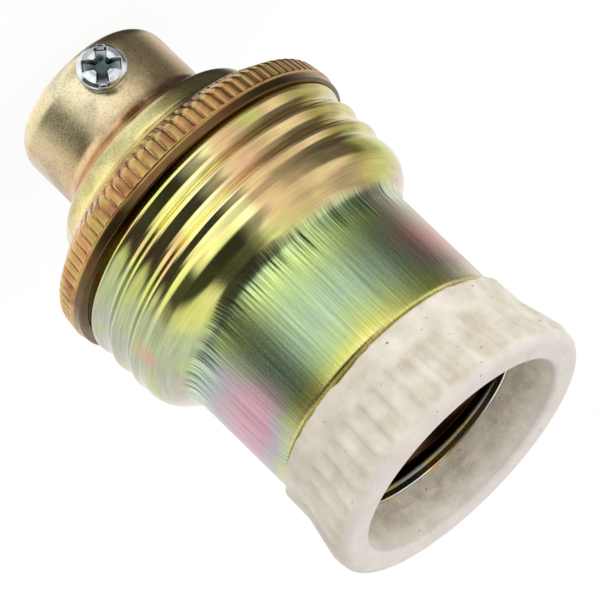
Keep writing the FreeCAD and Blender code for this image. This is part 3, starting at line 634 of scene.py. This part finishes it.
def buildLockScrew(k):
    # a low domed head on a plain shank, turned from a profile, with its recess pressed in afterwards
    top = k["crown"] - k["seat"]
    foot = k["tip"] - k["seat"]
    corners = [
        (0.02, foot, 0), (k["shank"], foot, 0.3), (k["shank"], 0, 0), (k["head"] - 0.08, 0, 0.1),
        (k["head"], top - k["dome"] - 0.25, k["edge"]), (k["head"] - 0.55, top - k["domeRise"], 1.2),
    ]
    outline = roundedPath(corners, 0.12)
    start = outline[-1]
    for ring in range(1, k["rings"]):
        share = ring / k["rings"]
        outline.append(Vector((start.x * (1 - share), start.y + k["domeRise"] * (1 - (1 - share) ** 2))))
    bm = lathe(outline, k["columns"])
    bmesh.ops.holes_fill(bm, edges=[e for e in bm.edges if e.is_boundary])
    bmesh.ops.recalc_face_normals(bm, faces=bm.faces)
    paintedShade = bm.verts.layers.float.new("paintedShade")
    for v in bm.verts:
        x, y, z = v.co / mm
        radius = math.hypot(x, y)
        if z < top - 1.2 or radius > k["head"] - 0.12:
            continue
        along, across = max(abs(x), abs(y)), min(abs(x), abs(y))
        width = k["armWidth"] + k["flare"] * (along / k["armLength"]) ** 2
        endOfArm = 1 - smooth(along, k["armLength"] - 0.15, k["armLength"] + 0.1)
        inArm = (1 - smooth(across, width, width + 0.16)) * endOfArm
        middle = 1 - smooth(radius, 0.9, 1.25)
        slope = k["deep"] * (1 - 0.5 * smooth(radius, 0.5, k["armLength"]))
        cross = max(inArm, middle) * slope
        inSlot = 1 - smooth(abs(x), k["slotWidth"], k["slotWidth"] + 0.14)
        slot = inSlot * k["slotDeep"] * smooth(radius, 1.0, 1.3)
        raised = k["burr"] * math.exp(-((radius - k["burrAt"]) / 0.45) ** 2) * (1 - max(inArm, middle))
        v.co.z += mm * (raised - max(cross, slot * (1 - smooth(radius, 2.9, 3.15))))
        # painted shade: how far the recess and slot are darkened
        v[paintedShade] = min(1.0, max(cross / k["deep"] * 1.2, 0.3 * slot / k["slotDeep"]))
    facing = Matrix(((1, 0, 0), (0, 0, -1), (0, 1, 0))).to_4x4()  # the head faces -Y
    turned = Matrix.Rotation(math.radians(k["turned"]), 4, "Z")
    place = Matrix.Translation((0, -k["seat"] * mm, k["height"] * mm))
    bmesh.ops.transform(bm, matrix=place @ facing @ turned, verts=bm.verts)
    makePiece("lock_screw_head", bm, "lock", screwFinish, "lock_screw")


buildLockScrew(lockPiece)
print("lock screw built")


sleeveFloor, sleeveEnd = endsAlong("thread_sleeve")
sleevePiece = {
    "wall": 0.4, "major": 13.35, "minor": 12.25, "pitch": 25.4 / 7, "hole": 6.2,
    "floor": sleeveFloor, "end": sleeveEnd,
    "lead": 3.2,  # how far from the end the thread begins to fade
    "rim": 0.9, "columns": 160, "step": 0.25,
}


def buildSleeve(s):
    middle, swing = (s["major"] + s["minor"]) / 2, (s["major"] - s["minor"]) / 2
    leadFrom, leadTo = s["end"] - s["lead"], s["end"] - s["rim"]
    corners = [
        (s["hole"], s["floor"] + s["wall"], 0), (middle, s["floor"] + s["wall"], 0.5), (middle, leadFrom, 0),
        (s["major"], leadTo, 0.6), (s["major"], s["end"] - 0.05, 0),
    ]
    bm = lathe(roundedPath(corners, s["step"]), s["columns"])
    for v in bm.verts:
        z = v.co.z / mm
        turn = math.atan2(v.co.y, v.co.x) / (2 * math.pi)
        full = smooth(z, s["floor"] + 0.5, s["floor"] + 3.0) * (1 - smooth(z, leadFrom, leadTo))
        out = Vector((v.co.x, v.co.y, 0)).normalized()
        v.co += out * mm * swing * full * math.cos(2 * math.pi * (z / s["pitch"] - turn))
    piece = makePiece("sleeve_skin", bm, "core", sleeveFinish, "thread_sleeve")
    giveWall(piece, s["wall"], 1)


buildSleeve(sleevePiece)
print("sleeve built")


def dress(names, material):
    for name in names:
        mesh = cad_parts[name].data
        mesh.materials.clear()
        mesh.materials.append(material)
        for poly in mesh.polygons:
            poly.material_index = 0


dress(["porcelain_insert"], coreFinish)
dress(["sleeve_screws", "sleeve_nuts", "contact_screw", "contact_nut", "neutral_clamp",
       "neutral_screw", "live_clamp", "live_screw"], screwFinish)
dress(["entry_bush", "centre_contact", "neutral_plate", "live_plate"], brassFinish)
print("inner parts dressed")


floorPiece = {"radius": 120, "drop": 0.1, "segments": 96, "shadowTo": 30, "plainFrom": 80}


def paleFloor(f):
    # white card; most of its white is its own, so that only a soft contact shadow shows, and none at its edge
    material, tree, shader, coordinates = startMaterial("white card")
    setInputs(tree, shader, {"Base Color": hexColour("#f8f8f8"), "Roughness": 0.9})
    seen = addNode(tree, "LightPath", output="Is Camera Ray")
    own = addNode(tree, "Emission", {"Color": (1, 1, 1, 1), "Strength": 1.0})
    away = addNode(tree, "VectorMath", [coordinates], output="Value", operation="LENGTH")
    fade = addNode(tree, "MapRange", [away, f["shadowTo"] * mm, f["plainFrom"] * mm, 0.93, 1.0],
                   interpolation_type="SMOOTHSTEP")
    share = addNode(tree, "Math", [seen, fade], operation="MULTIPLY")
    card = addNode(tree, "MixShader", [share, shader.outputs[0], own])
    setInputs(tree, tree.nodes["Material Output"], {"Surface": card})
    return material


def buildFloor(f):
    bm = bmesh.new()
    bmesh.ops.create_circle(bm, cap_ends=True, segments=f["segments"], radius=f["radius"] * mm)
    mesh = bpy.data.meshes.new("floor")
    bm.to_mesh(mesh)
    bm.free()
    floor = bpy.data.objects.new("floor", mesh)
    floor.location.z = cadBox[0].z - f["drop"] * mm
    bpy.context.scene.collection.objects.link(floor)
    mesh.materials.append(paleFloor(f))
    floor.visible_glossy = False  # the metal reflects the studio round it, not the card's edge


def buildWorld():
    # the studio that the metal mirrors has white screens with dark gaps, by turn round the axis and by height;
    # everything else gets a softer light with one brighter side, and the camera sees plain white
    world = bpy.data.worlds.new("studio")
    bpy.context.scene.world = world
    world.use_nodes = True
    tree = world.node_tree
    tree.nodes.clear()
    direction = addNode(tree, "TexCoord", output="Generated")
    height = addNode(tree, "SeparateXYZ", [direction], output="Z")
    angle = angleRound(tree, direction, near)
    turn = addNode(tree, "Math", [angle, 1 / (2 * math.pi), 0.5], operation="MULTIPLY_ADD")  # 0.5 faces the camera
    low = addNode(tree, "ValToRGB", [turn], between="EASE", stops=[
        (0.0, 1.0), (0.2, 1.0), (0.26, 0.85), (0.3, 0.35), (0.33, 0.08), (0.385, 0.08), (0.42, 0.9), (0.46, 1.35),
        (0.53, 1.35), (0.6, 1.1), (0.655, 0.65), (0.69, 0.42), (0.73, 0.19), (0.81, 0.15), (0.86, 0.55),
        (0.91, 1.0), (1.0, 1.0)])
    high = addNode(tree, "ValToRGB", [turn], between="EASE", stops=[
        (0.0, 1.0), (0.24, 1.0), (0.3, 0.85), (0.35, 0.05), (0.5, 0.025), (0.555, 0.35), (0.6, 1.1), (0.75, 1.0),
        (0.82, 0.5), (0.9, 0.9), (1.0, 1.0)])
    under = addNode(tree, "ValToRGB", [turn], between="EASE", stops=[
        (0.0, 1.25), (0.4, 1.2), (0.6, 0.7), (0.8, 0.1), (0.955, 0.06), (0.985, 0.9), (1.0, 1.25)])
    toHigh = addNode(tree, "MapRange", [height, 0.02, 0.24], interpolation_type="SMOOTHSTEP")
    toUnder = addNode(tree, "MapRange", [height, -0.42, -0.56], interpolation_type="SMOOTHSTEP")
    toFoot = addNode(tree, "MapRange", [height, -0.88, -0.95], interpolation_type="SMOOTHSTEP")
    toTop = addNode(tree, "MapRange", [height, 0.93, 0.99], interpolation_type="SMOOTHSTEP")
    mirrored = addNode(tree, "Mix", {0: toHigh, 6: low, 7: high}, output=2, data_type="RGBA")
    mirrored = addNode(tree, "Mix", {0: toUnder, 6: mirrored, 7: under}, output=2, data_type="RGBA")
    mirrored = addNode(tree, "Mix", {0: toFoot, 6: mirrored, 7: (1.2, 1.2, 1.2, 1)}, output=2, data_type="RGBA")
    mirrored = addNode(tree, "Mix", {0: toTop, 6: mirrored, 7: (0.15, 0.15, 0.15, 1)}, output=2, data_type="RGBA")
    studio = addNode(tree, "Background", {"Color": mirrored, "Strength": 1.0})
    keyFrom = (near * 0.5 + side * 0.62 + up * 0.4).normalized()
    toKey = addNode(tree, "VectorMath", [direction, keyFrom], output="Value", operation="DOT_PRODUCT")
    level = addNode(tree, "MapRange", [toKey, -0.7, 0.95, 0.62, 1.42], interpolation_type="SMOOTHSTEP")
    soft = addNode(tree, "Background", {"Color": (1, 1, 1, 1), "Strength": level})
    white = addNode(tree, "Background", {"Color": (1, 1, 1, 1), "Strength": 1.0})
    isGlossy = addNode(tree, "LightPath", output="Is Glossy Ray")
    isCamera = addNode(tree, "LightPath", output="Is Camera Ray")
    lit = addNode(tree, "MixShader", [isGlossy, soft, studio])
    shown = addNode(tree, "MixShader", [isCamera, lit, white])
    setInputs(tree, tree.nodes.new("ShaderNodeOutputWorld"), {"Surface": shown})


cameraPlace = {
    "tilt": 19.6,  # degrees that the mouth leans towards the camera
    "roll": 44,    # degrees that the axis runs below the horizontal of the frame
    "target": 39.6,  # mm along the axis that it looks at
    "distance": 800, "lens": 384, "shift": (0.0142, -0.0155),
}


def buildCamera(c):
    tilt, roll = math.radians(c["tilt"]), math.radians(c["roll"])
    towards = near * math.cos(tilt) + up * math.sin(tilt)
    downAxis = up * math.cos(tilt) - near * math.sin(tilt)
    right = downAxis * math.cos(roll) + side * math.sin(roll)
    above = side * math.cos(roll) - downAxis * math.sin(roll)
    data = bpy.data.cameras.new("camera")
    data.sensor_width = 36
    data.lens = c["lens"]
    data.shift_x, data.shift_y = c["shift"]
    data.clip_start, data.clip_end = 0.05, 20
    camera = bpy.data.objects.new("camera", data)
    bpy.context.scene.collection.objects.link(camera)
    camera.matrix_world = Matrix((right, above, towards)).transposed().to_4x4()
    camera.location = (up * c["target"] + towards * c["distance"]) * mm
    bpy.context.scene.camera = camera


buildFloor(floorPiece)
buildWorld()
buildCamera(cameraPlace)
bpy.context.scene.view_settings.view_transform = "Standard"
print("stage ready")
